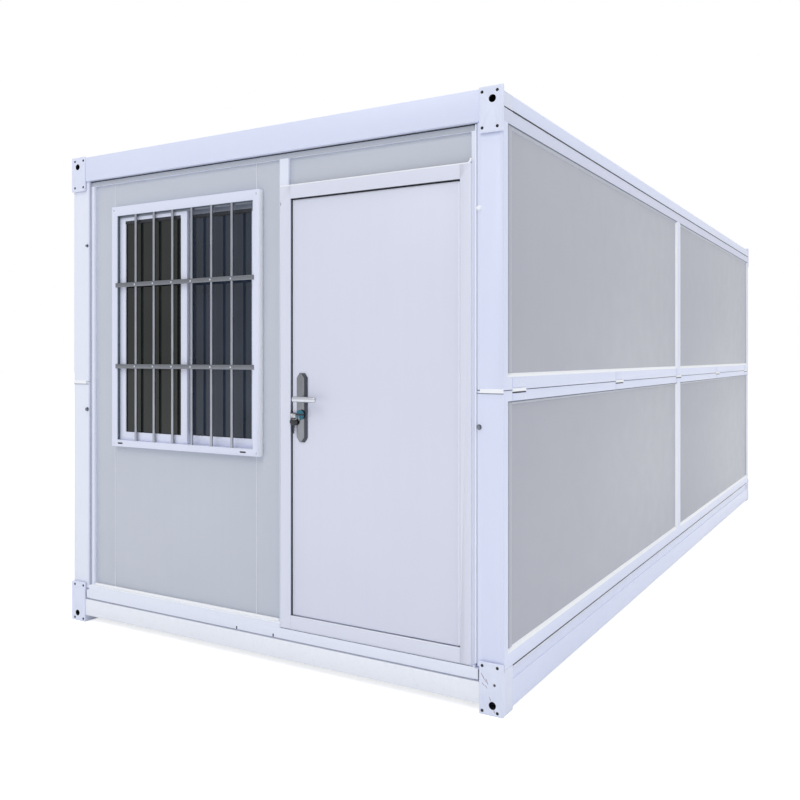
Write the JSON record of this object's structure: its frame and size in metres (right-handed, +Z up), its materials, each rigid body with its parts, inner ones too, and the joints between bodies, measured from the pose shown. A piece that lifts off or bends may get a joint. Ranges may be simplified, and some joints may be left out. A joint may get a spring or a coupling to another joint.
{
  "type": "folding container house",
  "caption": "Folding container house with a steel frame, side walls hinged at mid height, corner fittings, a barred sliding window and a steel door with a lever handle.",
  "frame": {"origin": "on the ground under the middle of the house", "axes": "+X to the right across the front, +Y from the front end with the door to the rear end, +Z up"},
  "size_m": [2.5, 5.892, 2.45],
  "materials": {
    "frame_paint": "cold white enamel, satin",
    "fitting_paint": "cold white enamel over cast and welded steel, satin",
    "joist_steel": "grey primer, matt",
    "floor_board": "plain board, matt",
    "roof_sheet": "coated sheet, satin",
    "side_panel_paint": "pale grey coated sheet, satin",
    "end_panel_paint": "pale grey coated sheet, satin",
    "hinge_steel": "white enamel, satin",
    "window_paint": "white powder coat, satin",
    "window_glass": "clear, polished",
    "bar_steel": "brushed",
    "door_frame_paint": "cold white enamel, satin",
    "door_paint": "cold white powder coat, satin",
    "lock_metal": "nickel plated"
  },
  "bodies": {
    "shell": {"base_beam_front": "frame_paint", "base_beam_rear": "frame_paint", "base_beam_left": "frame_paint", "base_beam_right": "frame_paint", "base_corner_front_left": "fitting_paint", "base_corner_front_right": "fitting_paint", "base_corner_rear_left": "fitting_paint", "base_corner_rear_right": "fitting_paint", "floor_joists": "joist_steel", "floor_deck": "floor_board", "roof_beam_front": "frame_paint", "roof_beam_rear": "frame_paint", "roof_beam_left": "frame_paint", "roof_beam_right": "frame_paint", "roof_corner_front_left": "fitting_paint", "roof_corner_front_right": "fitting_paint", "roof_corner_rear_left": "fitting_paint", "roof_corner_rear_right": "fitting_paint", "roof_panel": "roof_sheet", "lower_frame_left": "frame_paint", "lower_frame_right": "frame_paint", "upper_frame_left": "frame_paint", "upper_frame_right": "frame_paint", "lower_panels_left": "side_panel_paint", "lower_panels_right": "side_panel_paint", "upper_panels_left": "side_panel_paint", "upper_panels_right": "side_panel_paint", "fold_hinges_left": "frame_paint", "fold_hinges_right": "frame_paint", "rear_wall_frame": "frame_paint", "rear_wall_panels": "end_panel_paint", "rear_wall_hinges": "hinge_steel", "front_hinge_pins": "hinge_steel"},
    "front_wall": {"front_wall_frame": "frame_paint", "front_panel_left": "end_panel_paint", "front_panel_middle": "end_panel_paint", "front_panel_right": "end_panel_paint", "front_panel_transom": "end_panel_paint", "front_hinge_knuckles": "hinge_steel", "window_frame": "window_paint", "window_sashes": "window_paint", "window_glass": "window_glass", "window_bars": "bar_steel", "door_frame": "door_frame_paint"},
    "door": {"door_leaf": "door_paint", "handle_plates": "bar_steel", "lock_cylinder": "lock_metal"},
    "lever": {"lever_handle": "bar_steel"}
  },
  "joints": [
    {"name": "front_wall_swing", "type": "hinge", "parent": "shell", "child": "front_wall", "pos_m": [0, -2.827, 2.307], "axis": [1, 0, 0], "range_deg": [0, 90]},
    {"name": "door_hinge", "type": "hinge", "parent": "front_wall", "child": "door", "pos_m": [1.0375, -2.897, 1.17], "axis": [0, 0, 1], "range_deg": [0, 90]},
    {"name": "lever_turn", "type": "hinge", "parent": "door", "child": "lever", "pos_m": [0.2718, -2.8865, 1.209], "axis": [0, 1, 0], "range_deg": [0, 45], "stiffness_Nm_per_rad": 1.5, "springref_deg": -22.92}
  ]
}
